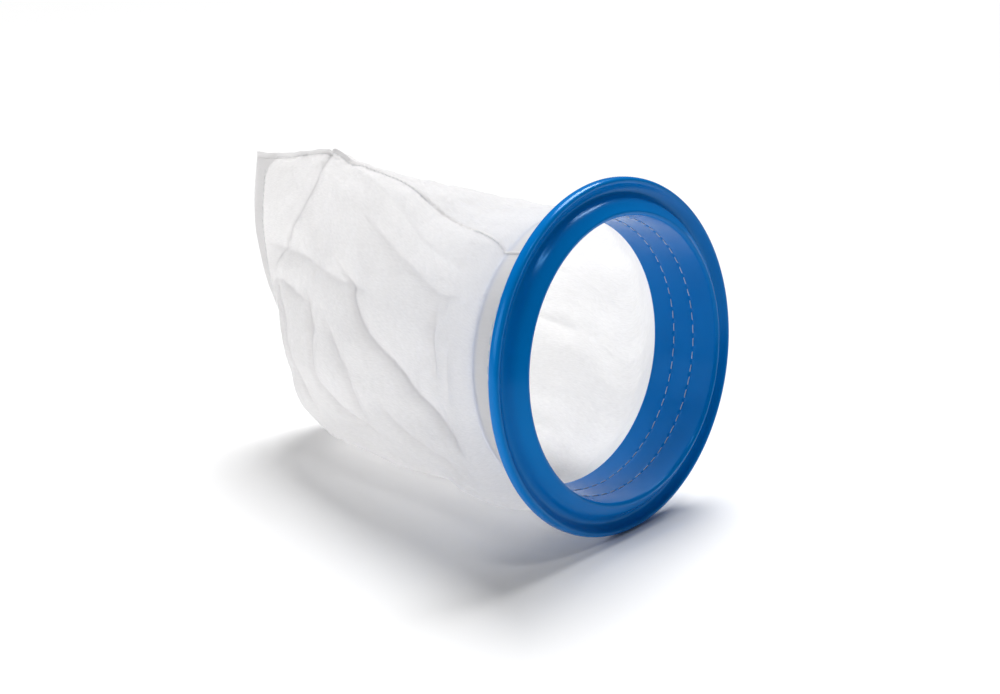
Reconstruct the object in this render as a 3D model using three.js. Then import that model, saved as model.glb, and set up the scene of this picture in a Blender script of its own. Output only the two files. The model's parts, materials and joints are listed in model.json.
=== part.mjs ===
// A filter bag for a dust collector: a moulded collar with a sewing skirt, and a cloth pocket
// sewn round the skirt by two rows of lockstitch. The bag lies on its side, as it does on a bench.
// Millimetres, +Z up. The mouth faces -Y, the cloth runs back towards +Y, and the floor is z = 0.
import * as THREE from 'three';

// Collar, measured from its lip plane: depths are positive towards the cloth.
const LIP_RADIUS = 90;
const LEAN = THREE.MathUtils.degToRad(7.25);
const SEAT_DEPTH = 1.5;
const SEAT_OUTER_RADIUS = 88.4;
const LIP_CREST = { radius: 88, depth: -4.05 };
const LIP_SLOPE = { radius: 86.4, depth: -3.1, turn: 87.2 };
const GROOVE = { radius: 83, depth: -0.9, outerTurn: 84.6, innerTurn: 81.2 };
const SHOULDER = { radius: 79.7, depth: -3.4 };
const CROWN_EDGE = { radius: 77.3, depth: -6.2 };
const CROWN = { radius: 73.4, depth: -9 };
const THROAT_MOUTH = { radius: 71.4, depth: -7.4 };
const SKIRT_END = { radius: 68.4, depth: 30.2 };
const SKIRT_WALL = 1.9;
const EDGE_ROUND = 0.5;
const COLLAR_SEGMENTS = 60;
const ARC_STEPS = 3;

// Cloth and its seams.
const CLOTH = 1.1;
const HEM = 1.5;
const HEM_START_DEPTH = 3.8;
const HEM_END_DEPTH = 27;
const CLOTH_CLEARANCE = 0.5;
const SEAM_ANGLE = THREE.MathUtils.degToRad(34);
const END_HALF_GAP = { outer: 1.6, inner: 0.45 };
const END_MARGIN = 0.04;
const ALLOWANCE = { half: 0.9, height: 6, least: 0.1 };
const ALLOWANCE_ROWS = { begins: 2, full: 5 };
const COLUMNS = 36;
const SPAN_STEPS = [1, 1, 1, 2, 4, 5, 5, 5, 1];
const INNER_ROWS_LEFT_OUT = 1;

// Threads.
const THREAD_RADIUS = 0.4;
const THREAD_GAP = 0.3;
const THREAD_SIDES = 4;
const ROW_DEPTHS = { front: 5.8, rear: 17.8 };
const SEAM_STEPS = 32;
const STITCH_RISE = 1.6;
const SIDE_SEAM_ROWS = { first: 4, leftOut: 3 };
const END_SEAM_SHARES = { first: 0.05, last: 0.95 };

const PLASTIC = { color: 0x0a6bb8, roughness: 0.3, metalness: 0 };
const FABRIC = { color: 0xeef0f2, roughness: 0.9, metalness: 0 };
const YARN = { color: 0xffffff, roughness: 0.7, metalness: 0 };

const lipCentre = new THREE.Vector3(0, LIP_RADIUS * Math.sin(LEAN), LIP_RADIUS * Math.cos(LEAN));

// The cloth's free shape. Each section lists eight points round the bag, from the side seam down
// the near side, under the bag to the fold, and back up the far side. Units of the lip radius.
const SECTIONS = [
  [
    [-0.42, 0.62, 1.64], [-0.77, 0.62, 1.12], [-0.68, 0.6, 0.42], [-0.3, 0.58, 0.03],
    [0.25, 0.6, 0.04], [0.68, 0.6, 0.46], [0.71, 0.6, 1.15], [0.24, 0.62, 1.68],
  ],
  [
    [-0.34, 1.05, 1.67], [-0.7, 1.05, 1.14], [-0.66, 1.05, 0.42], [-0.27, 1.05, 0.02],
    [0.3, 1.05, 0.04], [0.68, 1.05, 0.48], [0.65, 1.05, 1.18], [0.2, 1.05, 1.69],
  ],
  [
    [-0.26, 1.6, 1.77], [-0.67, 1.62, 1.2], [-0.68, 1.55, 0.45], [-0.28, 1.55, 0.02],
    [0.25, 1.6, 0.02], [0.62, 1.6, 0.42], [0.6, 1.65, 1.15], [0.14, 1.65, 1.66],
  ],
  [
    [-0.2, 2.22, 1.81], [-0.45, 2.27, 1.28], [-0.57, 2.2, 0.6], [-0.32, 2.14, 0.05],
    [0.2, 2.16, 0.01], [0.43, 2.28, 0.4], [0.36, 2.36, 1.0], [0.04, 2.4, 1.52],
  ],
];

// The end seam's stitching, from the standing corner of the pocket down to the folded corner.
const END_SEAM = [
  [-0.2, 2.82, 1.7], [-0.26, 2.8, 1.2], [-0.24, 2.64, 0.66], [-0.02, 2.46, 0.24], [0.3, 2.32, 0.08],
];

function toPoint([x, y, z]) {
  return new THREE.Vector3(x, y, z).multiplyScalar(LIP_RADIUS);
}

// A point at a radius, depth and angle of the collar, the angle from its top towards -X.
function collarPoint(radius, depth, angle) {
  const across = -radius * Math.sin(angle);
  const upward = radius * Math.cos(angle);
  return new THREE.Vector3(across, depth, upward)
    .applyAxisAngle(new THREE.Vector3(1, 0, 0), -LEAN)
    .add(lipCentre);
}

function throatRadius(depth) {
  const share = (depth - THROAT_MOUTH.depth) / (SKIRT_END.depth - THROAT_MOUTH.depth);
  return THREE.MathUtils.lerp(THROAT_MOUTH.radius, SKIRT_END.radius, share);
}

function mesh(name, geometry, finish) {
  const piece = new THREE.Mesh(geometry, new THREE.MeshStandardMaterial(finish));
  piece.name = name;
  return piece;
}

// Bodies turned about the collar's axis.
function turned(name, profile, finish) {
  const piece = mesh(name, new THREE.LatheGeometry(profile, COLLAR_SEGMENTS), finish);
  piece.rotation.x = -LEAN;
  piece.position.copy(lipCentre);
  return piece;
}

function collarProfile() {
  const seatInner = throatRadius(SEAT_DEPTH) + SKIRT_WALL;
  const skirtOuter = SKIRT_END.radius + SKIRT_WALL;
  const outline = new THREE.Path();
  outline.moveTo(seatInner, SEAT_DEPTH);
  outline.lineTo(skirtOuter, SKIRT_END.depth - EDGE_ROUND);
  outline.quadraticCurveTo(skirtOuter, SKIRT_END.depth, skirtOuter - EDGE_ROUND, SKIRT_END.depth);
  outline.lineTo(SKIRT_END.radius + EDGE_ROUND, SKIRT_END.depth);
  outline.quadraticCurveTo(
    SKIRT_END.radius, SKIRT_END.depth, SKIRT_END.radius, SKIRT_END.depth - EDGE_ROUND,
  );
  outline.lineTo(THROAT_MOUTH.radius, THROAT_MOUTH.depth);
  outline.quadraticCurveTo(THROAT_MOUTH.radius, CROWN.depth, CROWN.radius, CROWN.depth);
  outline.lineTo(CROWN_EDGE.radius, CROWN_EDGE.depth);
  outline.lineTo(SHOULDER.radius, SHOULDER.depth);
  outline.quadraticCurveTo(GROOVE.innerTurn, GROOVE.depth, GROOVE.radius, GROOVE.depth);
  outline.quadraticCurveTo(GROOVE.outerTurn, GROOVE.depth, LIP_SLOPE.radius, LIP_SLOPE.depth);
  outline.quadraticCurveTo(LIP_SLOPE.turn, LIP_CREST.depth, LIP_CREST.radius, LIP_CREST.depth);
  outline.quadraticCurveTo(LIP_RADIUS, LIP_CREST.depth, LIP_RADIUS, 0);
  outline.quadraticCurveTo(LIP_RADIUS, SEAT_DEPTH, SEAT_OUTER_RADIUS, SEAT_DEPTH);
  outline.lineTo(seatInner, SEAT_DEPTH);
  return outline.getPoints(ARC_STEPS);
}

function threadRingProfile(radius, depth) {
  const profile = [];
  for (let side = 0; side <= THREAD_SIDES; side += 1) {
    const turn = (side / THREAD_SIDES) * 2 * Math.PI;
    profile.push(new THREE.Vector2(
      radius + THREAD_RADIUS * Math.cos(turn),
      depth + THREAD_RADIUS * Math.sin(turn),
    ));
  }
  profile[THREAD_SIDES].copy(profile[0]);
  return profile;
}

function stitchRows() {
  const rows = [];
  for (const [place, depth] of Object.entries(ROW_DEPTHS)) {
    const wall = throatRadius(depth);
    const inside = wall - THREAD_GAP - THREAD_RADIUS;
    const outside = wall + SKIRT_WALL + CLOTH_CLEARANCE + HEM + THREAD_GAP + THREAD_RADIUS;
    rows.push(turned(`${place}_row_bobbin_thread`, threadRingProfile(inside, depth), YARN));
    rows.push(turned(`${place}_row_needle_thread`, threadRingProfile(outside, depth), YARN));
  }
  return rows;
}

// The cloth as a lofted surface. A layer is its outer or inner face, and an angle runs round
// the bag from the side seam: positive on the near side, up to half a turn at the fold.
const LAYERS = {
  outer: { hemInset: 0, inset: 0, halfGap: END_HALF_GAP.outer, margin: 0, floor: 0 },
  inner: { hemInset: HEM, inset: CLOTH, halfGap: END_HALF_GAP.inner, margin: END_MARGIN, floor: CLOTH },
};

// Points of one layer round the bag, flattened where the cloth rests on the floor.
function pointsAround(curves, share, layer) {
  return curves.map((curve) => {
    const place = curve.getPoint(share);
    place.z = Math.max(place.z, layer.floor);
    return place;
  });
}

function sectionCurve(points, inset) {
  const places = points.map(toPoint);
  const middle = new THREE.Vector3();
  places.forEach((place) => middle.addScaledVector(place, 1 / places.length));
  places.forEach((place) => {
    const inward = middle.clone().sub(place).normalize();
    place.addScaledVector(inward, inset);
  });
  return new THREE.CatmullRomCurve3(places, true);
}

const endSeam = new THREE.CatmullRomCurve3(END_SEAM.map(toPoint));

// A point beside the end seam: sideways off its cloth, and rearward into its seam allowance.
function besideEndSeam(share, offSide, rearward) {
  const along = endSeam.getTangent(share);
  const sideways = new THREE.Vector3(0, 1, 0).cross(along).normalize();
  const behind = along.clone().cross(sideways);
  return endSeam.getPoint(share)
    .addScaledVector(sideways, offSide)
    .addScaledVector(behind, rearward);
}

function endPoint(angle, layer, rearward) {
  const share = Math.abs(angle) / Math.PI;
  const kept = THREE.MathUtils.lerp(layer.margin, 1 - layer.margin, share);
  const side = Math.sin(angle) >= 0 ? 1 : -1;
  return besideEndSeam(kept, side * layer.halfGap, rearward);
}

function hemRadius(depth, layer) {
  return throatRadius(depth) + SKIRT_WALL + CLOTH_CLEARANCE + HEM - layer.hemInset;
}

function lengthwiseCurve(angle, layer, sections) {
  const ringAngle = SEAM_ANGLE + angle;
  const freeRadius = hemRadius(SKIRT_END.depth, LAYERS.inner) + CLOTH - layer.inset;
  const round = (angle / (2 * Math.PI) + 1) % 1;
  return new THREE.CatmullRomCurve3([
    collarPoint(hemRadius(HEM_START_DEPTH, layer), HEM_START_DEPTH, ringAngle),
    collarPoint(hemRadius(ROW_DEPTHS.rear, layer), ROW_DEPTHS.rear, ringAngle),
    collarPoint(hemRadius(HEM_END_DEPTH, layer), HEM_END_DEPTH, ringAngle),
    collarPoint(freeRadius, SKIRT_END.depth, ringAngle),
    ...sections.map((section) => section.getPoint(round)),
    endPoint(angle, layer, 0),
    endPoint(angle, layer, ALLOWANCE.height),
  ]);
}

// Shares of the lengthwise curve at which the cloth has a row of corners.
function rowShares() {
  const shares = [0];
  SPAN_STEPS.forEach((steps, span) => {
    for (let step = 1; step <= steps; step += 1) {
      shares.push((span + step / steps) / SPAN_STEPS.length);
    }
  });
  return shares;
}

const ROWS = rowShares();

// Where the side seam runs in one row, the way across it and the way out of the cloth.
function seamFrame(around) {
  const seam = around[0];
  const next = around[1];
  const last = around[around.length - 1];
  const outward = seam.clone().multiplyScalar(2).sub(next).sub(last).normalize();
  const sideways = next.clone().sub(last);
  sideways.addScaledVector(outward, -sideways.dot(outward)).normalize();
  return (side, rise) => seam.clone()
    .addScaledVector(sideways, side)
    .addScaledVector(outward, rise);
}

// One row of corners: the seam allowance stands out at the side seam as four extra corners.
function clothRow(curves, share, layer) {
  const around = pointsAround(curves, share, layer);
  const beside = seamFrame(around);
  const past = THREE.MathUtils.smoothstep(
    share, ROWS[ALLOWANCE_ROWS.begins], ROWS[ALLOWANCE_ROWS.full],
  );
  const isOuter = layer === LAYERS.outer;
  const tall = ALLOWANCE.least + (isOuter ? ALLOWANCE.height * past : 0);
  const half = isOuter ? ALLOWANCE.half : ALLOWANCE.half / 2;
  return [
    beside(half, tall), beside(half, 0), ...around.slice(1), beside(-half, 0), beside(-half, tall),
  ];
}

function lengthwiseCurves(layer) {
  const sections = SECTIONS.map((points) => sectionCurve(points, layer.inset));
  const curves = [];
  for (let column = 0; column < COLUMNS; column += 1) {
    const angle = (column / COLUMNS) * 2 * Math.PI;
    const signed = angle > Math.PI ? angle - 2 * Math.PI : angle;
    curves.push(lengthwiseCurve(signed, layer, sections));
  }
  return curves;
}

function clothRows(layer, lastRow) {
  const curves = lengthwiseCurves(layer);
  return ROWS.slice(0, lastRow).map((share) => clothRow(curves, share, layer));
}

// Threads of the pocket's own seams, one on each face of the seam allowance.
function threadAlong(name, points) {
  const section = new THREE.Shape();
  section.absarc(0, 0, THREAD_RADIUS, 0, 2 * Math.PI);
  const geometry = new THREE.ExtrudeGeometry(section, {
    extrudePath: new THREE.CatmullRomCurve3(points),
    steps: SEAM_STEPS,
    curveSegments: THREAD_SIDES / 2,
    bevelEnabled: false,
  });
  return mesh(name, geometry, YARN);
}

function sideSeamThread(name, side) {
  const curves = lengthwiseCurves(LAYERS.outer);
  const off = side * (ALLOWANCE.half + THREAD_GAP + THREAD_RADIUS);
  const shares = ROWS.slice(SIDE_SEAM_ROWS.first, -SIDE_SEAM_ROWS.leftOut);
  return threadAlong(name, shares.map((share) => {
    const beside = seamFrame(pointsAround(curves, share, LAYERS.outer));
    return beside(off, STITCH_RISE);
  }));
}

function endSeamThread(name, side) {
  const off = side * (END_HALF_GAP.outer + THREAD_GAP + THREAD_RADIUS);
  const points = [];
  for (let column = 0; column <= COLUMNS / 2; column += 1) {
    const share = column / (COLUMNS / 2);
    const kept = THREE.MathUtils.clamp(share, END_SEAM_SHARES.first, END_SEAM_SHARES.last);
    points.push(besideEndSeam(kept, off, STITCH_RISE));
  }
  return threadAlong(name, points);
}

function clothGeometry() {
  const outer = clothRows(LAYERS.outer, ROWS.length);
  const inner = clothRows(LAYERS.inner, ROWS.length - INNER_ROWS_LEFT_OUT);
  const around = outer[0].length;
  const corners = [...outer, ...inner].flat();
  const innerStart = outer.length * around;
  const faces = [];
  const quad = (a, b, c, d) => faces.push(a, b, c, a, c, d);

  function wall(start, rows, outwards) {
    for (let row = 0; row + 1 < rows; row += 1) {
      for (let column = 0; column < around; column += 1) {
        const next = (column + 1) % around;
        const here = start + row * around;
        const beyond = here + around;
        if (outwards) {
          quad(here + column, beyond + column, beyond + next, here + next);
        } else {
          quad(here + column, here + next, beyond + next, beyond + column);
        }
      }
    }
  }

  // Closes a flattened row by joining its near side to its far side, from seam to fold.
  function closeEnd(start, outwards) {
    const fold = (around - 1) / 2;
    const triangle = (a, b, c) => faces.push(...(outwards ? [a, c, b] : [a, b, c]));
    for (let step = 0; step < fold; step += 1) {
      const near = start + step;
      const far = start + around - 1 - step;
      triangle(near, near + 1, far);
      if (step < fold - 1) {
        triangle(near + 1, far - 1, far);
      }
    }
  }

  wall(0, outer.length, true);
  wall(innerStart, inner.length, false);
  closeEnd((outer.length - 1) * around, true);
  closeEnd(innerStart + (inner.length - 1) * around, false);
  for (let column = 0; column < around; column += 1) {
    const next = (column + 1) % around;
    quad(column, next, innerStart + next, innerStart + column);
  }

  const geometry = new THREE.BufferGeometry();
  geometry.setFromPoints(corners);
  geometry.setIndex(faces);
  geometry.computeVertexNormals();
  return geometry;
}

function assemble() {
  const bag = new THREE.Group();
  bag.add(turned('collar', collarProfile(), PLASTIC));
  bag.add(mesh('filter_cloth', clothGeometry(), FABRIC));
  bag.add(...stitchRows());
  bag.add(sideSeamThread('side_seam_needle_thread', 1));
  bag.add(sideSeamThread('side_seam_bobbin_thread', -1));
  bag.add(endSeamThread('end_seam_needle_thread', 1));
  bag.add(endSeamThread('end_seam_bobbin_thread', -1));
  return bag;
}

// The frame's origin is under the middle of the whole object, on the floor.
function centred(bag) {
  bag.updateMatrixWorld(true);
  const box = new THREE.Box3().setFromObject(bag, true);
  const middle = box.getCenter(new THREE.Vector3());
  bag.position.set(-middle.x, -middle.y, -box.min.z);
  return bag;
}

export default new THREE.Group().add(centred(assemble()));
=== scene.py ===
import json
import math

import bpy
import numpy as np
from mathutils import Matrix, Vector


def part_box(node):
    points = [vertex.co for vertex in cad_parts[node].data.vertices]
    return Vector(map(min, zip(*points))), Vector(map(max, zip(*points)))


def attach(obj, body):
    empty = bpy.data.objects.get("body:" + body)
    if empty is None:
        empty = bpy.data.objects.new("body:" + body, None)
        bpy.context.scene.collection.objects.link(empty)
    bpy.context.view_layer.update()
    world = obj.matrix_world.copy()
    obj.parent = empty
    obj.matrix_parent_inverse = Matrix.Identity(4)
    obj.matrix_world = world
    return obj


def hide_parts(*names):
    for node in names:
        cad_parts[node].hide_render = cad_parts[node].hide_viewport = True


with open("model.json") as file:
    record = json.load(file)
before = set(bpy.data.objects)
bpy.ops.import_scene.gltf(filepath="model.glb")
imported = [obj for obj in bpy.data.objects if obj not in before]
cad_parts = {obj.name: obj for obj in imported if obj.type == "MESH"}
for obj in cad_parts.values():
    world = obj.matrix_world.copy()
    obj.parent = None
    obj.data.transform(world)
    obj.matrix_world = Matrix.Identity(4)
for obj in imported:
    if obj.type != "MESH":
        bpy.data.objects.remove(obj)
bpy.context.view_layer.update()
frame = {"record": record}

# ---------------------------------------------------------------- frame of the collar
MM = 0.001
SEAT_DEPTH = 1.5 * MM
SEAT_POINT_RADIUS = 80.5 * MM

seat = frame["record"]["mounts"][0]
low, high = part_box("collar")
R = (high.x - low.x) / 2
ACROSS = np.array([1.0, 0.0, 0.0])
BACK = np.array(seat["axis"], float)
BACK /= np.linalg.norm(BACK)
UP = np.cross(ACROSS, BACK)
LIP_CENTRE = np.array(seat["pos_m"], float) - ACROSS * SEAT_POINT_RADIUS - BACK * SEAT_DEPTH

# The profile of the collar: radius and depth behind the lip plane.
SKIRT_WALL = 1.9 * MM
THROAT_MOUTH = np.array([71.4, -7.4]) * MM
SKIRT_END = np.array([68.4, 30.2]) * MM
ROW_DEPTHS = {"front": 5.8 * MM, "rear": 17.8 * MM}
STITCHES = 64
THREAD = 0.22 * MM

# The cloth.
SEAM_ANGLE = math.radians(34)
HEM_START_DEPTH = 3.8 * MM
HEM_END_DEPTH = 27.0 * MM
HEM_INNER = 0.45 * MM
HEM_OUTER = 1.25 * MM
SEED = 7


def throat_radius(depth):
    share = (depth - THROAT_MOUTH[1]) / (SKIRT_END[1] - THROAT_MOUTH[1])
    return THROAT_MOUTH[0] + (SKIRT_END[0] - THROAT_MOUTH[0]) * share


def collar_point(radius, depth, angle):
    """Points by radius, depth behind the lip plane, and angle from the collar's top towards -X."""
    radius, depth, angle = np.broadcast_arrays(radius, depth, angle)
    return (
        LIP_CENTRE
        + depth[..., None] * BACK
        + (radius * np.cos(angle))[..., None] * UP
        - (radius * np.sin(angle))[..., None] * ACROSS
    )


# ---------------------------------------------------------------- small helpers
SMALLEST = 1e-12
SMALLEST_SQUARE = 1e-20


def smooth(low_edge, high_edge, value):
    share = np.clip((value - low_edge) / (high_edge - low_edge), 0, 1)
    return share * share * (3 - 2 * share)


def unit(vectors):
    return vectors / np.maximum(np.linalg.norm(vectors, axis=-1, keepdims=True), SMALLEST)


def catmull(points, share, closed=False):
    """A centripetal Catmull-Rom curve through points[0], points[1], ..., at shares from 0 to 1."""
    points = np.asarray(points, float)
    share = np.atleast_1d(np.asarray(share, float))
    count = len(points)
    place = (count if closed else count - 1) * share
    span = np.floor(place).astype(int)
    if not closed:
        span = np.minimum(span, count - 2)
    w = (place - span).reshape(-1, *([1] * (points.ndim - 1)))
    padded = np.concatenate([
        points[-1:] if closed else 2 * points[:1] - points[1:2],
        points,
        points[:2] if closed else 2 * points[-1:] - points[-2:-1],
    ])
    p0, p1, p2, p3 = (padded[span + step] for step in range(4))

    def gap(a, b):
        """The square root of a distance, which makes the curve centripetal."""
        squared = ((a - b) ** 2).sum(-1, keepdims=True)
        return np.maximum(squared, SMALLEST_SQUARE) ** 0.25

    d0, d1, d2 = gap(p0, p1), gap(p1, p2), gap(p2, p3)
    t1 = ((p1 - p0) / d0 - (p2 - p0) / (d0 + d1) + (p2 - p1) / d1) * d1
    t2 = ((p2 - p1) / d1 - (p3 - p1) / (d1 + d2) + (p3 - p2) / d2) * d1
    w2, w3 = w * w, w * w * w
    return (
        (2 * w3 - 3 * w2 + 1) * p1 + (w3 - 2 * w2 + w) * t1
        + (3 * w2 - 2 * w3) * p2 + (w3 - w2) * t2
    )


def grid_faces(rows, columns):
    """Quads of a grid of rows by columns of corners, whose columns close on themselves."""
    row = np.arange(rows - 1)[:, None] * columns
    column = np.arange(columns)[None, :]
    beside = (column + 1) % columns
    quads = np.stack([row + column, row + beside, row + columns + beside, row + columns + column], -1)
    return quads.reshape(-1, 4)


def make_mesh(name, corners, faces, material, smooth_shading=True):
    mesh = bpy.data.meshes.new(name)
    mesh.from_pydata(np.asarray(corners).reshape(-1, 3).tolist(), [], [list(face) for face in faces])
    mesh.update()
    mesh.polygons.foreach_set("use_smooth", [smooth_shading] * len(mesh.polygons))
    mesh.materials.append(material)
    piece = bpy.data.objects.new(name, mesh)
    bpy.context.scene.collection.objects.link(piece)
    return piece


def add_attribute(piece, name, values):
    layer = piece.data.attributes.new(name, "FLOAT", "POINT")
    layer.data.foreach_set("value", np.asarray(values, np.float32).ravel())


def add_vector(piece, name, values):
    layer = piece.data.attributes.new(name, "FLOAT_VECTOR", "POINT")
    layer.data.foreach_set("vector", np.asarray(values, np.float32).ravel())


# ---------------------------------------------------------------- camera and studio
AZIMUTH = math.radians(-46.8)
ELEVATION = math.radians(20.0)
DISTANCE = 9.937
AIM_ACROSS = 0.6365
AIM_BELOW = 0.0607
LENS = 64.8
SENSOR = 36.0


def make_camera():
    right = Vector((math.cos(AZIMUTH), math.sin(AZIMUTH), 0))
    back = Vector((
        math.sin(AZIMUTH) * math.cos(ELEVATION),
        -math.cos(AZIMUTH) * math.cos(ELEVATION),
        math.sin(ELEVATION),
    ))
    up = back.cross(right)
    data = bpy.data.cameras.new("camera")
    data.lens = LENS
    data.sensor_width = SENSOR
    data.clip_start = 0.05
    data.clip_end = 50
    camera = bpy.data.objects.new("camera", data)
    camera.matrix_world = Matrix((right, up, back)).transposed().to_4x4()
    camera.location = (
        Vector(LIP_CENTRE) + R * (DISTANCE * back - AIM_ACROSS * right + AIM_BELOW * up)
    )
    bpy.context.scene.collection.objects.link(camera)
    bpy.context.scene.camera = camera


def add_area_light(name, place, target, size, power):
    data = bpy.data.lights.new(name, "AREA")
    data.shape = "RECTANGLE"
    data.size, data.size_y = size
    data.energy = power
    lamp = bpy.data.objects.new(name, data)
    lamp.location = place
    lamp.rotation_mode = "QUATERNION"
    lamp.rotation_quaternion = (Vector(target) - Vector(place)).to_track_quat("-Z", "Y")
    bpy.context.scene.collection.objects.link(lamp)


KEY_FROM = (0.47, 0.25, 0.85)
KEY_STRENGTH = 3.6
KEY_SPREAD = 34.0
WORLD_STRENGTH = 0.06
FLOOR_HALF = 6.0
AREA_LIGHTS = {
    "strip": {
        "place": (-0.30, -0.36, 1.25), "target": (0, -0.1, 0.1), "size": (0.30, 0.10), "power": 1.6,
    },
    "side": {
        "place": (-1.2, 0.4, 0.6), "target": (0, 0.05, 0.09), "size": (0.8, 0.7), "power": 6.0,
    },
}


def make_studio():
    key = bpy.data.lights.new("key", "SUN")
    key.energy = KEY_STRENGTH
    key.angle = math.radians(KEY_SPREAD)
    lamp = bpy.data.objects.new("key", key)
    lamp.rotation_mode = "QUATERNION"
    lamp.rotation_quaternion = Vector(KEY_FROM).to_track_quat("Z", "Y")
    bpy.context.scene.collection.objects.link(lamp)
    for name, settings in AREA_LIGHTS.items():
        add_area_light(name, **settings)
    world = bpy.data.worlds.new("studio")
    world.use_nodes = True
    world.node_tree.nodes["Background"].inputs["Color"].default_value = (1, 1, 1, 1)
    world.node_tree.nodes["Background"].inputs["Strength"].default_value = WORLD_STRENGTH
    bpy.context.scene.world = world
    bpy.context.scene.view_settings.view_transform = "Standard"

    half = FLOOR_HALF
    corners = [(-half, -half, 0), (half, -half, 0), (half, half, 0), (-half, half, 0)]
    floor = make_mesh("floor", corners, [(0, 1, 2, 3)], floor_material(), smooth_shading=False)
    return floor


# ---------------------------------------------------------------- materials
class Nodes:
    """A short way to write a node tree."""

    def __init__(self, name):
        self.material = bpy.data.materials.new(name)
        self.material.use_nodes = True
        self.tree = self.material.node_tree
        self.tree.nodes.clear()
        self.output = self.tree.nodes.new("ShaderNodeOutputMaterial")

    def add(self, kind, inputs=None, **settings):
        node = self.tree.nodes.new(kind)
        for key, value in settings.items():
            setattr(node, key, value)
        for key, value in (inputs or {}).items():
            if isinstance(value, bpy.types.NodeSocket):
                self.tree.links.new(value, node.inputs[key])
            else:
                node.inputs[key].default_value = value
        return node

    def math(self, operation, first, second=0.0):
        return self.add("ShaderNodeMath", {0: first, 1: second}, operation=operation).outputs[0]

    def ramp(self, factor, stops):
        node = self.add("ShaderNodeValToRGB", {"Fac": factor})
        ramp = node.color_ramp
        while len(ramp.elements) < len(stops):
            ramp.elements.new(0.5)
        for element, (position, colour) in zip(ramp.elements, stops):
            element.position = position
            element.color = (*colour, 1)
        return node.outputs["Color"]

    def finish(self, shader):
        self.tree.links.new(shader, self.output.inputs["Surface"])
        return self.material


def floor_material():
    n = Nodes("pale_floor")
    noise = n.add("ShaderNodeTexNoise", {"Scale": 3.0, "Detail": 2.0})
    colour = n.ramp(noise.outputs["Fac"], [(0.3, (0.935, 0.935, 0.935)), (0.7, (0.95, 0.95, 0.95))])
    shader = n.add("ShaderNodeBsdfPrincipled", {"Base Color": colour, "Roughness": 0.8})
    return n.finish(shader.outputs[0])


FLOW_MARK_DEPTH = 0.0003
FINE_SHARE = 0.02


def plastic_material():
    """Royal-blue flexible plastic, glossy, with faint flow marks and fine scuffs."""
    n = Nodes("collar_plastic")
    place = n.add("ShaderNodeTexCoord").outputs["Object"]
    broad = n.add("ShaderNodeTexNoise", {"Vector": place, "Scale": 28.0, "Detail": 3.0})
    fine = n.add("ShaderNodeTexNoise", {"Vector": place, "Scale": 900.0, "Detail": 2.0})
    scuffs = n.add("ShaderNodeTexNoise", {"Vector": place, "Scale": 70.0, "Detail": 2.0})
    colour = n.ramp(
        broad.outputs["Fac"], [(0.3, (0.000, 0.182, 0.580)), (0.7, (0.000, 0.196, 0.615))],
    )
    rough = n.add("ShaderNodeMapRange", {
        "Value": scuffs.outputs["Fac"], "From Min": 0.35, "From Max": 0.75,
        "To Min": 0.17, "To Max": 0.23,
    }).outputs[0]
    height = n.math("ADD", broad.outputs["Fac"], n.math("MULTIPLY", fine.outputs["Fac"], FINE_SHARE))
    bump = n.add("ShaderNodeBump", {"Height": height, "Strength": 0.12, "Distance": FLOW_MARK_DEPTH})
    shader = n.add("ShaderNodeBsdfPrincipled", {
        "Base Color": colour, "Roughness": rough, "Normal": bump.outputs[0],
        "Specular IOR Level": 0.42, "Specular Tint": (0.16, 0.52, 1.0, 1.0),
    })
    return n.finish(shader.outputs[0])


FIBRE_DEPTH = 0.0001


def thread_material(name, dark, light):
    n = Nodes(name)
    place = n.add("ShaderNodeTexCoord").outputs["Object"]
    fibre = n.add("ShaderNodeTexNoise", {"Vector": place, "Scale": 2500.0, "Detail": 3.0})
    colour = n.ramp(fibre.outputs["Fac"], [(0.3, dark), (0.7, light)])
    bump = n.add("ShaderNodeBump", {
        "Height": fibre.outputs["Fac"], "Strength": 0.5, "Distance": FIBRE_DEPTH,
    })
    shader = n.add("ShaderNodeBsdfPrincipled", {
        "Base Color": colour, "Roughness": 0.55, "Normal": bump.outputs[0], "Sheen Weight": 0.3,
    })
    return n.finish(shader.outputs[0])


# How the weave's noises share in its relief and in its tone.
STREAK_RELIEF = 0.8
WEFT_RELIEF = 0.6
CLOUD_RELIEF = 2.0
STREAK_TONE = 0.35
CLOUD_TONE = 0.65
WEAVE_DEPTH = 0.00022

# How folds and second layers change the cloth: how much painted shade greys their colour, how
# much light they stop, and how far they close the weave.
# Painted shade: the grey that folds, tucks and doubled layers are mixed towards.
PAINTED_SHADE_GREY = (0.42, 0.41, 0.43, 1)
FOLD_SHADE = 0.36
LAYER_SHADE = 0.16
PASSING = 0.58
LAYER_STOPS = 0.3
OPENNESS = 0.11
OPENNESS_OF_THREADS = 0.18
LAYER_COVERS = 0.9


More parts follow.
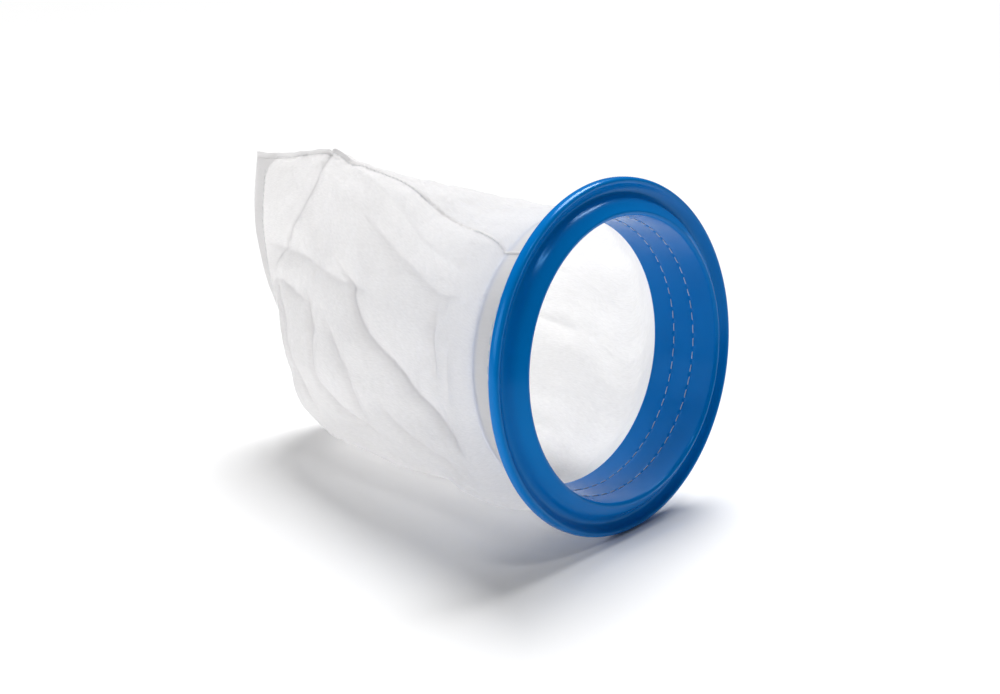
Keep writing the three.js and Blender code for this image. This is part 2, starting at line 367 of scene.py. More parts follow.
def cloth_material():
    """Thin white filter cloth: light passes through it, and folds and layered seams get painted shade.
    """
    n = Nodes("filter_cloth_weave")
    flat = n.add("ShaderNodeAttribute", attribute_name="flat").outputs["Vector"]
    fold_and_shade = n.add("ShaderNodeAttribute", attribute_name="fold_and_shade").outputs["Fac"]
    doubled_and_shade = n.add("ShaderNodeAttribute", attribute_name="doubled_and_shade").outputs["Fac"]

    def noise(across, along, detail=2.0):
        scale = (across, along, 1.0)
        place = n.add("ShaderNodeVectorMath", {0: flat, 1: scale}, operation="MULTIPLY").outputs[0]
        texture = n.add("ShaderNodeTexNoise", {"Vector": place, "Scale": 1.0, "Detail": detail})
        return texture.outputs["Fac"]

    streaks = noise(620.0, 40.0)
    threads = noise(2200.0, 260.0)
    weft = noise(180.0, 1900.0)
    cloud = noise(34.0, 34.0, 4.0)
    height = n.math("ADD", n.math("MULTIPLY", streaks, STREAK_RELIEF), threads)
    height = n.math("ADD", height, n.math("MULTIPLY", weft, WEFT_RELIEF))
    height = n.math("ADD", height, n.math("MULTIPLY", cloud, CLOUD_RELIEF))
    bump = n.add("ShaderNodeBump", {
        "Height": height, "Strength": 0.6, "Distance": WEAVE_DEPTH,
    }).outputs[0]
    tone = n.math("MULTIPLY", streaks, STREAK_TONE)
    tone = n.math("ADD", tone, n.math("MULTIPLY", cloud, CLOUD_TONE))
    colour = n.ramp(tone, [(0.3, (0.93, 0.921, 0.918)), (0.65, (0.975, 0.967, 0.964))])
    # Painted shade: folds and doubled layers grey the cloth's colour.
    painted_shade = n.math("MULTIPLY", fold_and_shade, FOLD_SHADE)
    painted_shade = n.math("ADD", painted_shade, n.math("MULTIPLY", doubled_and_shade, LAYER_SHADE))
    colour = n.add("ShaderNodeMix", {0: painted_shade, 6: colour, 7: PAINTED_SHADE_GREY}, data_type="RGBA").outputs[2]
    body = n.add("ShaderNodeBsdfPrincipled", {
        "Base Color": colour, "Roughness": 0.8, "Sheen Weight": 0.1, "Normal": bump,
    }).outputs[0]
    glow = n.add("ShaderNodeBsdfTranslucent", {"Color": colour, "Normal": bump}).outputs[0]
    clear = n.add("ShaderNodeBsdfTransparent", {"Color": (0.98, 0.98, 0.985, 1)}).outputs[0]
    passing = n.math("SUBTRACT", PASSING, n.math("MULTIPLY", doubled_and_shade, LAYER_STOPS))
    lit = n.add("ShaderNodeMixShader", {0: passing, 1: body, 2: glow}).outputs[0]
    openness = n.math("ADD", n.math("MULTIPLY", threads, OPENNESS_OF_THREADS), OPENNESS)
    covered = n.math("MAXIMUM", fold_and_shade, n.math("MULTIPLY", doubled_and_shade, LAYER_COVERS))
    openness = n.math("MULTIPLY", openness, n.math("SUBTRACT", 1.0, covered))
    return n.finish(n.add("ShaderNodeMixShader", {0: openness, 1: lit, 2: clear}).outputs[0])


# ---------------------------------------------------------------- collar
COLLAR_SEGMENTS = STITCHES * 14
HOLE_DEPTH = 0.45 * MM
HOLE_RADIUS = 0.75 * MM
ROW_DENT = 0.10 * MM
ROW_DENT_WIDTH = 0.8 * MM
WALL_TOLERANCE = 0.05 * MM

# The front of the collar in millimetres of radius and depth. A bend is its control point, the
# point that ends it, and its number of steps.
MOUTH_CONTROL_DEPTH = -8.9
CROWN = (73.4, -9.0)
CROWN_EDGE = (77.0, -6.4)
LIP_RADIUS = 90.0
SHOULDER_BEND = ((78.6, -5.2), (79.7, -3.4), 8)
GROOVE_INNER_BEND = ((81.2, -0.8), (83.0, -0.9), 9)
GROOVE_OUTER_BEND = ((84.6, -1.2), (86.4, -3.1), 10)
LIP_CREST_BEND = ((87.2, -4.05), (88.0, -4.05), 5)
LIP_FRONT_BEND = ((LIP_RADIUS, -4.05), (LIP_RADIUS, -0.6), 12)
LIP_BACK_START = 0.3
LIP_BACK_RADIUS = 88.4
EDGE_ROUND = 0.5
MOUTH_ROUND = 0.6
FOOT_DEPTH = 1.9
FOOT_START = 0.7
FOOT_CONTROL = 0.1


def arc(start, control, end, steps):
    """A quadratic curve's points after its start."""
    share = np.linspace(0, 1, steps + 1)[1:, None]
    start, control, end = (np.asarray(p, float) for p in (start, control, end))
    return list((1 - share) ** 2 * start + 2 * share * (1 - share) * control + share ** 2 * end)


def line(start, end, steps):
    share = np.linspace(0, 1, steps + 1)[1:, None]
    return list(np.asarray(start, float) * (1 - share) + np.asarray(end, float) * share)


def collar_profile():
    """The collar's closed outline, as radius and depth behind the lip plane."""
    seat_depth = SEAT_DEPTH / MM
    seat_inner = (throat_radius(SEAT_DEPTH) + SKIRT_WALL) / MM
    mouth, end = THROAT_MOUTH / MM, SKIRT_END / MM
    skirt_outer = end[0] + SKIRT_WALL / MM
    points = [np.array([seat_inner, FOOT_DEPTH])]
    points += line(points[-1], (skirt_outer, end[1] - EDGE_ROUND), 40)
    points += arc(points[-1], (skirt_outer, end[1]), (skirt_outer - EDGE_ROUND, end[1]), 5)
    points += line(points[-1], (end[0] + EDGE_ROUND, end[1]), 1)
    points += arc(points[-1], end, (end[0], end[1] - EDGE_ROUND), 5)
    points += line(points[-1], (mouth[0], mouth[1] + MOUTH_ROUND), 72)
    points += arc(points[-1], (mouth[0], MOUTH_CONTROL_DEPTH), CROWN, 10)
    points += line(points[-1], CROWN_EDGE, 5)
    for control, bend_end, steps in (
        SHOULDER_BEND, GROOVE_INNER_BEND, GROOVE_OUTER_BEND, LIP_CREST_BEND, LIP_FRONT_BEND,
    ):
        points += arc(points[-1], control, bend_end, steps)
    points += line(points[-1], (LIP_RADIUS, LIP_BACK_START), 1)
    points += arc(points[-1], (LIP_RADIUS, seat_depth), (LIP_BACK_RADIUS, seat_depth), 6)
    points += line(points[-1], (seat_inner + FOOT_START, seat_depth), 12)
    points += arc(points[-1], (seat_inner + FOOT_CONTROL, seat_depth), (seat_inner, FOOT_DEPTH), 4)[:-1]
    return np.array(points) * MM


def hole_angle(number):
    """The collar angle at which the needle went through, for a stitch number."""
    return 2 * math.pi * number / STITCHES


def make_collar(material):
    profile = collar_profile()
    angle = np.linspace(0, 2 * math.pi, COLLAR_SEGMENTS, endpoint=False)
    radius = np.repeat(profile[:, :1], COLLAR_SEGMENTS, 1)
    depth = np.repeat(profile[:, 1:], COLLAR_SEGMENTS, 1)
    on_wall = np.abs(radius - throat_radius(depth)) < WALL_TOLERANCE
    pitch = hole_angle(1)
    to_hole = (angle - pitch * np.round(angle / pitch)) * SKIRT_END[0]
    for row_depth in ROW_DEPTHS.values():
        squared = to_hole[None, :] ** 2 + (depth - row_depth) ** 2
        lengthwise = np.exp(-((depth - row_depth) / ROW_DENT_WIDTH) ** 2)
        radius = radius + on_wall * HOLE_DEPTH * np.exp(-squared / HOLE_RADIUS ** 2)
        radius = radius + on_wall * ROW_DENT * lengthwise
    corners = collar_point(radius, depth, angle[None, :])
    rows = len(profile)
    quads = grid_faces(rows, COLLAR_SEGMENTS)
    last = (rows - 1) * COLLAR_SEGMENTS
    column = np.arange(COLLAR_SEGMENTS)
    beside = (column + 1) % COLLAR_SEGMENTS
    closing = np.stack([last + column, last + beside, beside, column], -1)
    piece = make_mesh("collar_moulding", corners, np.concatenate([quads, closing]), material)
    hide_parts("collar")
    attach(piece, "root")


# ---------------------------------------------------------------- stitches
STITCH_SHARE = 0.66
TWIST_PITCH = 1.1 * MM
PLY_BULGE = 0.16
STITCH_STEPS = 22
STITCH_SIDES = 8
DIVE_POWER = 6
TIP_POWER = 8
TIP_LEAST = 0.02

# How unlike each other the stitches of a row are.
PLACE_SPREAD = 0.012
LENGTH_SPREAD = 0.05
SLANT_SPREAD = 0.06 * MM
SHIFT_SPREAD = 0.05 * MM

# How high a row's stitch stands off and how deep its ends go, in thread radii.
ROW_LIFT = 0.75
ROW_DIVE = 1.9


def thread_tube(path, outward, radius):
    """Corners of a twisted two-ply thread along a path; outward points away from what it lies on."""
    along = unit(np.gradient(path, axis=0))
    side = unit(np.cross(along, outward))
    lift = np.cross(side, along)
    run = np.concatenate([[0], np.cumsum(np.linalg.norm(np.diff(path, axis=0), axis=1))])
    turn = np.linspace(0, 2 * math.pi, STITCH_SIDES, endpoint=False)[None, :]
    twist = (2 * math.pi * run / TWIST_PITCH)[:, None]
    share = np.linspace(-1, 1, len(path))[:, None]
    taper = np.sqrt(np.clip(1 - np.abs(share) ** TIP_POWER, TIP_LEAST, 1))
    ply = radius * taper * (1 + PLY_BULGE * np.cos(2 * (turn - twist)))
    return (
        path[:, None, :]
        + (ply * np.cos(turn))[..., None] * lift[:, None, :]
        + (ply * np.sin(turn))[..., None] * side[:, None, :]
    )


def join_tubes(name, tubes, material):
    """One mesh from many tubes, each with its ends closed."""
    corners, faces = [], []
    for tube in tubes:
        start = len(corners)
        rows, sides = tube.shape[:2]
        corners.extend(tube.reshape(-1, 3).tolist())
        faces.extend((grid_faces(rows, sides) + start).tolist())
        faces.append([start + side for side in reversed(range(sides))])
        faces.append([start + (rows - 1) * sides + side for side in range(sides)])
    return make_mesh(name, corners, faces, material)


def ring_stitches(row_depth, radius, inward, random):
    """The dashes of one thread of a row: inside the throat (inward) or outside the hem."""
    pitch = hole_angle(1)
    share = np.linspace(-1, 1, STITCH_STEPS)
    dive = THREAD * ROW_DIVE * np.abs(share) ** DIVE_POWER
    away = -1.0 if inward else 1.0
    tubes = []
    for number in range(STITCHES):
        middle = hole_angle(number + 0.5) + random.normal(0, PLACE_SPREAD) * pitch
        half = pitch * STITCH_SHARE / 2 * (1 + random.normal(0, LENGTH_SPREAD))
        angle = middle + half * share
        slant = random.normal(0, SLANT_SPREAD) * share + random.normal(0, SHIFT_SPREAD)
        place = radius + away * (THREAD * ROW_LIFT - dive)
        path = collar_point(place, row_depth + slant, angle)
        outward = away * (collar_point(1.0, 0.0, angle) - collar_point(0.0, 0.0, angle))
        tubes.append(thread_tube(path, outward, THREAD))
    return tubes


def make_ring_stitches(material):
    for place, row_depth in ROW_DEPTHS.items():
        random = np.random.default_rng(SEED + len(place))
        wall = throat_radius(row_depth)
        for kind, radius, inward in (
            ("bobbin", wall + ROW_DENT, True),
            ("needle", wall + SKIRT_WALL + HEM_OUTER, False),
        ):
            tubes = ring_stitches(row_depth, radius, inward, random)
            piece = join_tubes(f"{place}_row_{kind}_stitches", tubes, material)
            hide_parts(f"{place}_row_{kind}_thread")
            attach(piece, "root")


# ---------------------------------------------------------------- cloth
# Each section lists eight points round the bag, from the side seam down the near side, under the
# bag to the fold, and back up the far side. Units of the lip radius, from under the lip's foot.
SECTIONS = [
    [
        [-0.42, 0.62, 1.64], [-0.77, 0.62, 1.12], [-0.68, 0.60, 0.42], [-0.30, 0.58, 0.03],
        [0.25, 0.60, 0.04], [0.68, 0.60, 0.46], [0.71, 0.60, 1.15], [0.24, 0.62, 1.68],
    ],
    [
        [-0.34, 1.05, 1.67], [-0.70, 1.05, 1.14], [-0.66, 1.05, 0.42], [-0.27, 1.05, 0.02],
        [0.30, 1.05, 0.04], [0.68, 1.05, 0.48], [0.65, 1.05, 1.18], [0.20, 1.05, 1.69],
    ],
    [
        [-0.26, 1.60, 1.77], [-0.67, 1.62, 1.20], [-0.68, 1.55, 0.45], [-0.28, 1.55, 0.02],
        [0.25, 1.60, 0.02], [0.62, 1.60, 0.42], [0.60, 1.65, 1.15], [0.14, 1.65, 1.66],
    ],
    [
        [-0.20, 2.22, 1.81], [-0.45, 2.27, 1.28], [-0.57, 2.20, 0.60], [-0.32, 2.14, 0.05],
        [0.20, 2.16, 0.01], [0.43, 2.28, 0.40], [0.36, 2.36, 1.00], [0.04, 2.40, 1.52],
    ],
]
END_SEAM = [
    [-0.20, 2.82, 1.70], [-0.26, 2.80, 1.20], [-0.24, 2.64, 0.66], [-0.02, 2.46, 0.24],
    [0.30, 2.32, 0.08],
]
TO_FRAME = np.array([0.0, LIP_CENTRE[1] - R * UP[1], 0.0])
COLUMNS = 480
FREE_ROWS = 300
LENGTH_SAMPLES = 160
SEAM_STEP = 1e-3
FLAT_WIDTH = 0.460
FLAT_LENGTH = 0.245
FLOOR_GAP = 0.4 * MM
SEAM_GAP_ANGLE = 0.002
SEAM_REACH = COLUMNS // 40
SLACK_OVER_HEM = 0.35 * MM
SLACK_OVER_END = 1.0 * MM
END_HALF_GAP = 0.25 * MM

# The hem's turned edge, and how its outer layer puckers along the stitched rows.
HEM_TURN = 0.5 * MM
HEM_INNER_ROWS = 20
HEM_TURN_ROWS = 7
HEM_OUTER_ROWS = 32
PUCKER_WIDTH = 1.6 * MM
PUCKER_WAVE = 0.15 * MM

# The allowances: the end seam's from the ear down to the fold, the side seam's from the hem to
# the ear. Angles round the bag and places along it are shares of half a turn and of the length.
ALLOWANCE_ROWS = 8
END_ALLOWANCE = (7.8 * MM, 2.0 * MM)
END_TAPER = (0.22, 0.42)
END_WAVE = 0.5 * MM
END_WAVE_RUN = 11 * MM
END_SPREAD = 0.25 * MM
SIDE_ALLOWANCE = (1.5 * MM, 3.0 * MM)
SIDE_GROWTH_END = 0.75
SIDE_STANDING = (0.60, 0.82)
SIDE_LEAST_LIFT = 0.1
SIDE_LIFT_STEPS = 2
SIDE_SPREAD = 0.04
SIDE_LAYERS = (0.5 * MM, 0.2 * MM)
CORNER_ROUND = 17 * MM
CORNER_BLUR = 0.5 * MM

# Crushed cloth: (strength, facet size) and (height, wave length).
CRUMPLES = ((0.20, 44 * MM), (0.11, 21 * MM))
RIPPLES = ((0.35 * MM, 30 * MM), (0.12 * MM, 9 * MM))
RIPPLE_WAVES = 24
FACET_STRETCH = (1.0, 0.62)
FACET_ROUNDING = 0.05
FACET_MARGIN = 0.02

# Where the cloth is held smooth, as shares of the length and of half a turn.
HELD_BY_HEM = 0.16
HELD_BY_SEAM = 0.12
LEFT_AT_SEAM = 0.15
EAR_LENGTH = 0.16
EAR_WIDTH = 0.28
EAR_STIFFNESS = 0.8

# Creases: (angle round the bag as a share of half a turn, share of the free length) points, the
# height in millimetres (below zero goes in), the half width in millimetres, and how strong the
# painted shade along the folded line and its tuck is. Each has a steep side and a shallow one.
CREASES = [
    (
        [(-0.10, 0.73), (0.05, 0.735), (0.13, 0.775), (0.20, 0.83), (0.27, 0.89), (0.36, 0.97)],
        -3.0, 5.0, 1.0,
    ),
    ([(0.36, 0.99), (0.345, 0.88), (0.35, 0.76), (0.33, 0.64)], -3.0, 5.0, 0.6),
    ([(0.26, 1.02), (0.27, 0.84), (0.26, 0.66), (0.24, 0.52), (0.22, 0.36)], -3.0, 6.0, 0.5),
    (
        [(0.20, 0.56), (0.25, 0.46), (0.31, 0.38), (0.36, 0.28), (0.41, 0.18), (0.50, 0.06)],
        -4.0, 5.0, 1.0,
    ),
    ([(0.31, 0.60), (0.34, 0.55), (0.39, 0.46), (0.53, 0.42)], -3.5, 6.0, 0.7),
    ([(0.30, 0.72), (0.37, 0.62), (0.47, 0.60), (0.52, 0.52), (0.55, 0.38)], -3.5, 5.0, 0.7),
    ([(0.15, 0.18), (0.19, 0.16), (0.33, 0.15), (0.38, 0.14)], -3.5, 5.0, 0.7),
    ([(0.21, 0.06), (0.28, 0.09), (0.42, 0.13)], -3.0, 5.0, 0.5),
    ([(0.34, 0.98), (0.42, 0.80), (0.50, 0.70), (0.62, 0.66)], -3.0, 5.0, 0.6),
    ([(0.40, 0.36), (0.50, 0.30), (0.60, 0.16)], -3.0, 5.0, 0.6),
    ([(0.01, 0.66), (0.04, 0.45), (0.08, 0.25), (0.10, 0.06)], 5.5, 14.0, 0.0),
    ([(0.09, 0.56), (0.13, 0.36), (0.16, 0.18), (0.14, 0.02)], -4.5, 10.0, 0.2),
    ([(-0.08, 0.60), (-0.12, 0.45), (-0.16, 0.25)], -3.0, 6.0, 0.5),
    ([(-0.20, 0.66), (-0.18, 0.45), (-0.26, 0.22)], -3.0, 6.0, 0.4),
    ([(-0.06, 0.30), (-0.14, 0.16), (-0.24, 0.10)], -2.5, 5.0, 0.4),
    ([(-0.25, 0.95), (-0.30, 0.75), (-0.45, 0.55), (-0.50, 0.35)], -3.5, 7.0, 0.2),
    ([(-0.40, 0.90), (-0.55, 0.75), (-0.62, 0.50), (-0.66, 0.25)], -3.0, 7.0, 0.1),
    ([(-0.15, 0.90), (-0.35, 0.88), (-0.60, 0.80)], -3.0, 7.0, 0.1),
]
STEEP_SIDE = 0.45
# Painted shade along each crease: a thin grey line, and a wider grey band on its steep side.
TUCK_SHADE = 0.33
TUCK_WIDTH = 5.5 * MM
CREASE_BLUNTNESS = 0.6 * MM
CREASE_LINE_WIDTH = 1.2 * MM
CREASE_FADE = 22 * MM


def end_frame(share):
    """The end seam's place, the way across its two layers and the way out of it."""
    points = np.array(END_SEAM) * R + TO_FRAME
    place = catmull(points, share)
    before = catmull(points, np.clip(share - SEAM_STEP, 0, 1))
    after = catmull(points, np.clip(share + SEAM_STEP, 0, 1))
    along = unit(after - before)
    across = unit(np.cross([0.0, 1.0, 0.0], along))
    return place, across, np.cross(along, across)


def base_surface(angle, share):
    """The smooth pocket, from the skirt's end (share 0) to the end seam (share 1)."""
    ring = SEAM_ANGLE + angle
    wall = throat_radius(HEM_END_DEPTH) + SKIRT_WALL
    place, across, _ = end_frame(np.abs(angle) / math.pi)
    side = np.where(angle >= 0, 1.0, -1.0)[:, None]
    sections = [
        catmull(np.array(section) * R + TO_FRAME, (angle / (2 * math.pi)) % 1, closed=True)
        for section in SECTIONS
    ]
    controls = np.array([
        collar_point(wall + HEM_OUTER + SLACK_OVER_HEM, HEM_END_DEPTH, ring),
        collar_point(SKIRT_END[0] + SKIRT_WALL + SLACK_OVER_END, SKIRT_END[1], ring),
        *sections,
        place + across * side * END_HALF_GAP,
    ])
    first = 1 / (len(controls) - 1)
    dense = catmull(controls, np.linspace(first, 1, LENGTH_SAMPLES))
    dense[..., 2] = np.maximum(dense[..., 2], FLOOR_GAP)
    steps = np.linalg.norm(np.diff(dense, axis=0), axis=-1)
    run = np.vstack([np.zeros(len(angle)), np.cumsum(steps, axis=0)])
    even = np.empty((len(share), len(angle), 3))
    for column in range(len(angle)):
        wanted = share * run[-1, column]
        for axis in range(3):
            even[:, column, axis] = np.interp(wanted, run[:, column], dense[:, column, axis])
    return even


def crease_height(angle_share, share):
    """The sum of V-shaped creases, in metres, and the painted shade along the folds, from 0 to 1."""
    total = np.zeros(np.broadcast(angle_share, share).shape)
    fold_and_shade = np.zeros(total.shape)
    around = angle_share * FLAT_WIDTH / 2
    length = share * FLAT_LENGTH
    for points, height, half_width, shade_strength in CREASES:
        nearest = np.full(total.shape, np.inf)
        side = np.zeros(total.shape)
        path = np.array(points) * [FLAT_WIDTH / 2, FLAT_LENGTH]
        ends = (path[0], path[-1])
        for start, end in zip(path, path[1:]):
            way = end - start
            t = ((around - start[0]) * way[0] + (length - start[1]) * way[1]) / (way @ way)
            t = np.clip(t, 0, 1)
            off = np.hypot(around - start[0] - t * way[0], length - start[1] - t * way[1])
            turn = way[0] * (length - start[1]) - way[1] * (around - start[0])
            side = np.where(off < nearest, np.sign(turn), side)
            nearest = np.minimum(nearest, off)
        fade = 1.0
        for end in ends:
            off = np.hypot(around - end[0], length - end[1])
            fade = fade * smooth(0, CREASE_FADE, off)
        blunt = np.sqrt(nearest ** 2 + CREASE_BLUNTNESS ** 2) - CREASE_BLUNTNESS
        width = half_width * MM * np.where(side > 0, STEEP_SIDE, 2 - STEEP_SIDE)
        total += height * MM * np.exp(-blunt / width) * fade
        # Painted shade: a grey line on the crease and a grey band on its steep side.
        line_shade = np.exp(-(nearest / CREASE_LINE_WIDTH) ** 2)
        tuck_shade = TUCK_SHADE * (side > 0) * np.exp(-(nearest / TUCK_WIDTH) ** 2)
        fold_and_shade = np.maximum(fold_and_shade, shade_strength * np.maximum(line_shade, tuck_shade) * fade)
    return total, fold_and_shade


def crumple(around, length, cell, random):
    """Facets like those of crushed cloth: the distance to the nearest of many scattered points."""
    count = int(FLAT_WIDTH * FLAT_LENGTH / cell ** 2)
    lowest = [-FLAT_WIDTH / 2, -FACET_MARGIN]
    highest = [FLAT_WIDTH / 2, FLAT_LENGTH + FACET_MARGIN]
    rounding = FACET_ROUNDING * cell
    total = np.zeros(around.shape)
    for x, y in random.uniform(lowest, highest, (count, 2)):
        across = (around - x + FLAT_WIDTH / 2) % FLAT_WIDTH - FLAT_WIDTH / 2
        off = np.hypot(across * FACET_STRETCH[0], (length - y) * FACET_STRETCH[1])
        total += np.exp(-off / rounding)
    nearest = -rounding * np.log(np.maximum(total, SMALLEST))
    return nearest - nearest.mean()


def smooth_noise(around, length, scale, random):
    """A band of plane waves with random directions, which repeats round the bag."""
    total = np.zeros(around.shape)
    for _ in range(RIPPLE_WAVES):
        turns = round(random.normal(0, FLAT_WIDTH / scale))
        along = random.normal(0, 1 / scale)
        phase = random.uniform(0, 2 * math.pi)
        total += np.cos(2 * math.pi * (turns * around / FLAT_WIDTH + along * length) + phase)
    return total / math.sqrt(RIPPLE_WAVES)


def surface_normals(corners):
    """The directions out of a closed grid of corners."""
    around = np.roll(corners, -1, 1) - np.roll(corners, 1, 1)
    along = np.gradient(corners, axis=0)
    normal = unit(np.cross(around, along))
    middle = corners.mean(axis=1, keepdims=True)
    outward = ((corners - middle) * normal).sum(-1, keepdims=True).sum(1, keepdims=True)
    return normal * np.sign(outward)


def column_angles():
    """The angle round the bag of each column of cloth, from the side seam and back to it."""
    around = np.linspace(SEAM_GAP_ANGLE, 2 * math.pi - SEAM_GAP_ANGLE, COLUMNS)
    return np.where(around > math.pi, around - 2 * math.pi, around)


def pocket_surface():
    """The free cloth and the end seam's allowance: corners, flat places, and the painted shade of folds
    and of doubled layers.

    Rows run from the skirt to the end seam, and columns from the side seam round to it again.
    """
    angle = column_angles()
    share = np.linspace(0, 1, FREE_ROWS)
    corners = base_surface(angle, share)
    random = np.random.default_rng(SEED)
    grid_share = share[:, None] + 0 * angle[None, :]
    grid_angle = angle[None, :] / math.pi + 0 * share[:, None]
    around, length = grid_angle * FLAT_WIDTH / 2, grid_share * FLAT_LENGTH
    height, fold_and_shade = crease_height(grid_angle, grid_share)
    for strength, cell in CRUMPLES:
        height += strength * crumple(around, length, cell, random)
    for swell, scale in RIPPLES:
        height += swell * smooth_noise(around, length, scale, random)
    near_seam = LEFT_AT_SEAM + (1 - LEFT_AT_SEAM) * smooth(0, HELD_BY_SEAM, 1 - grid_share)
    ear = np.exp(-(((1 - grid_share) / EAR_LENGTH) ** 2 + (grid_angle / EAR_WIDTH) ** 2))
    height *= smooth(0, HELD_BY_HEM, grid_share) * near_seam * (1 - EAR_STIFFNESS * ear)
    corners = corners + surface_normals(corners) * height[..., None]
    corners[..., 2] = np.maximum(corners[..., 2], FLOOR_GAP)
    # Doubled cloth at the ear corners, which the cloth's colour greys as painted shade.
    inwards = np.maximum(CORNER_ROUND - np.abs(around), 0)
    forwards = np.maximum(CORNER_ROUND - (FLAT_LENGTH - length), 0)
    from_middle = np.hypot(inwards, forwards)
    doubled_and_shade = smooth(CORNER_ROUND - CORNER_BLUR, CORNER_ROUND + CORNER_BLUR, from_middle)
    doubled_and_shade *= (inwards > 0) & (forwards > 0)

    _, across, behind = end_frame(np.abs(angle) / math.pi)
    tapering = smooth(*END_TAPER, np.abs(angle) / math.pi)[:, None]
    end_allowance = END_ALLOWANCE[0] + (END_ALLOWANCE[1] - END_ALLOWANCE[0]) * tapering
    side = np.where(angle >= 0, 1.0, -1.0)[:, None]
    edge = corners[-1]
    for row in range(1, ALLOWANCE_ROWS + 1):
        reach = end_allowance * row / ALLOWANCE_ROWS
        wave = END_WAVE * np.sin(around[-1] / END_WAVE_RUN)[:, None] * row / ALLOWANCE_ROWS
        spread = side * END_SPREAD * row / ALLOWANCE_ROWS
        added = edge + behind * reach + across * (spread + wave)
        added[:, 2] = np.maximum(added[:, 2], FLOOR_GAP)
        corners = np.concatenate([corners, added[None]])
        around = np.concatenate([around, around[-1:]])
        length = np.concatenate([length, FLAT_LENGTH + reach.T])
        fold_and_shade = np.concatenate([fold_and_shade, fold_and_shade[-1:] * 0])
        doubled_and_shade = np.concatenate([doubled_and_shade, doubled_and_shade[-1:] * 0 + 1])
    return corners, around, length, fold_and_shade, doubled_and_shade


def hem_surface(ring):
    """The hem's corners and how far along the cloth each is: inner layer, turned edge, outer layer."""
    rows, runs = [], []

    def add_row(layer, depth, run):
        wall = throat_radius(depth) + SKIRT_WALL
        rows.append(collar_point(wall + layer, depth + 0 * ring, ring))
        runs.append(np.full(ring.shape, run))

    turn_depth = HEM_START_DEPTH + HEM_TURN
    for depth in np.linspace(HEM_END_DEPTH, turn_depth, HEM_INNER_ROWS):
        add_row(HEM_INNER, depth, depth - 2 * HEM_END_DEPTH)
    for turn in np.linspace(0, math.pi, HEM_TURN_ROWS)[1:-1]:
        layer = HEM_INNER + (HEM_OUTER - HEM_INNER) * (1 - math.cos(turn)) / 2
        add_row(layer, HEM_START_DEPTH + HEM_TURN * (1 - math.sin(turn)), -HEM_END_DEPTH)
    waves = 0.5 - 0.5 * np.cos(ring * STITCHES)
    for depth in np.linspace(turn_depth, HEM_END_DEPTH, HEM_OUTER_ROWS)[:-1]:
        row_gap = min(abs(depth - row_depth) for row_depth in ROW_DEPTHS.values())
        pucker = math.exp(-(row_gap / PUCKER_WIDTH) ** 2)
        layer = HEM_OUTER + SLACK_OVER_HEM * (1 - pucker) + PUCKER_WAVE * waves * pucker
        add_row(layer, depth, depth - HEM_END_DEPTH)
    return np.array(rows), np.array(runs)


def seam_directions(corners):
    """Out of the cloth at the side seam, from its far edge to its near edge, and down the far side."""
    first, last = corners[:, 0], corners[:, -1]
    near, far = corners[:, SEAM_REACH], corners[:, -1 - SEAM_REACH]
    return unit((first + last) / 2 - (near + far) / 2), unit(first - last), unit(far - last)


def side_allowance(corners, flat_x, flat_y, hem_rows):
    """The side seam's allowance, pressed to the far side and standing up along the ear.

    Gives its points, their flat places, and its faces, numbered on from the corners.
    """
    rows, columns = corners.shape[:2]
    row = np.arange(rows)
    outward, apart, far = seam_directions(corners)
    share = (row - hem_rows) / FREE_ROWS
    standing = smooth(*SIDE_STANDING, share)[:, None]
    narrow, wide = SIDE_ALLOWANCE
    rise = (narrow + smooth(0, SIDE_GROWTH_END, share) * (wide - narrow))[:, None]
    lift = SIDE_LEAST_LIFT + (1 - SIDE_LEAST_LIFT) * standing
    way = unit(outward * lift + far * (1 - standing))
    points, flats, faces = [], [], []
    for column, sign, layer in ((0, 1, SIDE_LAYERS[0]), (columns - 1, -1, SIDE_LAYERS[1])):
        edge = corners[:, column]
        previous = row * columns + column
        for step in range(1, ALLOWANCE_ROWS + 1):
            reach = rise * step / ALLOWANCE_ROWS
            lifted = smooth(0, SIDE_LIFT_STEPS, step) * layer * (1 - standing)
            added = rows * columns + rows * len(points) + row
            points.append(edge + way * reach + outward * lifted + apart * sign * SIDE_SPREAD * reach)
            across = flat_x[:, column] - sign * reach[:, 0]
            flats.append(np.stack([across, flat_y[:, column], 0 * across], -1))
            faces.append(np.stack([previous[:-1], previous[1:], added[1:], added[:-1]], -1))
            previous = added
    return np.concatenate(points), np.concatenate(flats), np.concatenate(faces)


def make_cloth(material):
    pocket, around, length, fold_and_shade, doubled_and_shade = pocket_surface()
    hem, runs = hem_surface(SEAM_ANGLE + column_angles())
    corners = np.concatenate([hem, pocket])
    flat_x = np.concatenate([np.repeat(around[:1], len(hem), 0), around])
    flat_y = np.concatenate([runs, length])
    flat = np.stack([flat_x, flat_y, 0 * flat_x], -1).reshape(-1, 3)
    # Painted shade: folds and doubled layers are greyed in the cloth's colour; the hem and the
    # allowances count as doubled.
    folds_and_shade = np.concatenate([np.zeros(runs.shape), fold_and_shade]).ravel()
    layers_and_shade = np.concatenate([np.ones(runs.shape), doubled_and_shade]).ravel()

    added, added_flat, added_faces = side_allowance(corners, flat_x, flat_y, len(hem))
    points = np.concatenate([corners.reshape(-1, 3), added])
    faces = np.concatenate([grid_faces(len(corners), COLUMNS), added_faces])
    piece = make_mesh("cloth_pocket", points, faces, material)
    add_vector(piece, "flat", np.concatenate([flat, added_flat]))
    add_attribute(piece, "fold_and_shade", np.concatenate([folds_and_shade, np.zeros(len(added))]))
    add_attribute(piece, "doubled_and_shade", np.concatenate([layers_and_shade, np.ones(len(added))]))
    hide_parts("filter_cloth")
    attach(piece, "root")
    return piece, corners, len(hem)


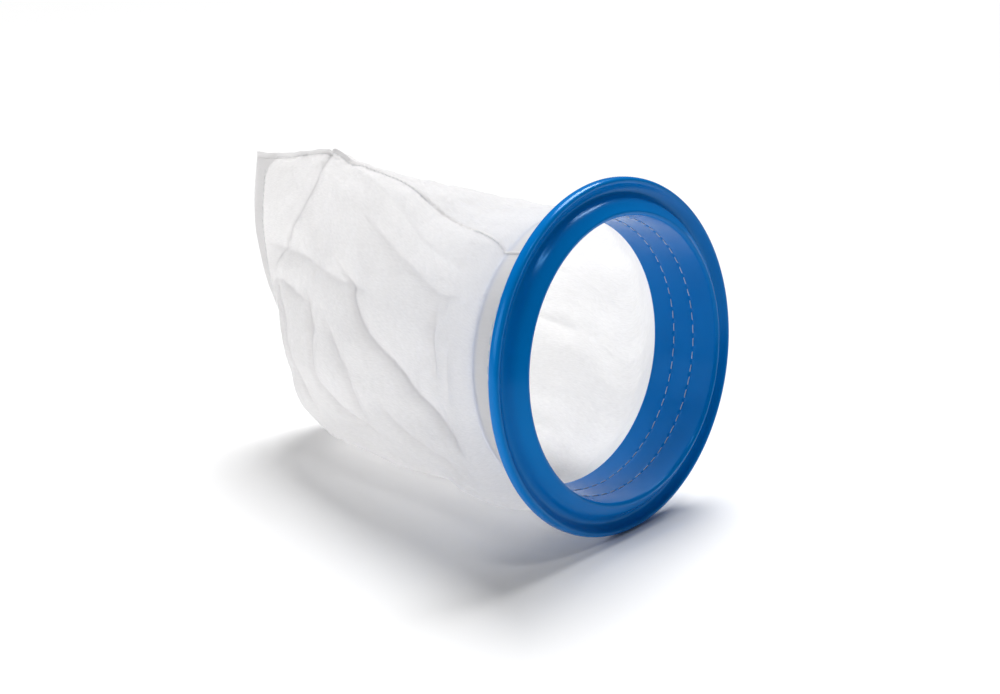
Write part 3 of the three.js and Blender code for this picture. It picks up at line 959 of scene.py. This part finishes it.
SEAM_PITCH = 3.5 * MM
SEAM_THREAD = 0.16 * MM
SEAM_PLACE_SPREAD = 0.02
SEAM_LIFT = 0.9
SEAM_DIVE = 1.7
SIDE_STITCH_HEIGHT = 0.5 * MM
END_STITCH_HEIGHT = 0.6 * MM
SIDE_ROWS_LEFT = 4
END_STITCH_ANGLES = (0.03 * math.pi, 0.95 * math.pi)


def seam_stitches(path, lift, random):
    """Dashes of one thread along a seam; lift points away from the cloth it lies on."""
    run = np.concatenate([[0], np.cumsum(np.linalg.norm(np.diff(path, axis=0), axis=1))])
    share = np.linspace(-1, 1, STITCH_STEPS)
    height = SEAM_THREAD * (SEAM_LIFT - SEAM_DIVE * np.abs(share) ** DIVE_POWER)
    tubes = []
    for number in range(int(run[-1] / SEAM_PITCH)):
        middle = (number + 0.5 + random.normal(0, SEAM_PLACE_SPREAD)) * SEAM_PITCH
        wanted = middle + SEAM_PITCH * STITCH_SHARE / 2 * share
        spot = np.stack([np.interp(wanted, run, path[:, axis]) for axis in range(3)], -1)
        away = unit(np.stack([np.interp(wanted, run, lift[:, axis]) for axis in range(3)], -1))
        tubes.append(thread_tube(spot + away * height[:, None], away, SEAM_THREAD))
    return tubes


def make_seam_stitches(corners, hem_rows, angle, material):
    outward, apart, _ = seam_directions(corners)
    rows = slice(hem_rows, hem_rows + FREE_ROWS - SIDE_ROWS_LEFT)
    raised = outward[rows] * SIDE_STITCH_HEIGHT
    _, across, behind = end_frame(np.abs(angle) / math.pi)
    end_path = corners[hem_rows + FREE_ROWS - 1] + behind * END_STITCH_HEIGHT
    first, last = END_STITCH_ANGLES
    near = (angle > first) & (angle < last)
    far = (angle < -first) & (angle > -last)
    seams = {
        "side_seam_needle": (corners[rows, 0] + raised, apart[rows]),
        "side_seam_bobbin": (corners[rows, -1] + raised, -apart[rows]),
        "end_seam_needle": (end_path[near], across[near]),
        "end_seam_bobbin": (end_path[far], -across[far]),
    }
    for name, (path, lift) in seams.items():
        random = np.random.default_rng(SEED + len(name))
        piece = join_tubes(f"{name}_stitches", seam_stitches(path, lift, random), material)
        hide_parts(f"{name}_thread")
        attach(piece, "root")


# ---------------------------------------------------------------- build
ROW_YARN = ((0.42, 0.52, 0.66), (0.72, 0.79, 0.88))
SEAM_YARN = ((0.72, 0.73, 0.75), (0.90, 0.90, 0.91))

make_camera()
floor = make_studio()
make_collar(plastic_material())
make_ring_stitches(thread_material("row_yarn", *ROW_YARN))
cloth, cloth_corners, hem_rows = make_cloth(cloth_material())
make_seam_stitches(cloth_corners, hem_rows, column_angles(), thread_material("seam_yarn", *SEAM_YARN))
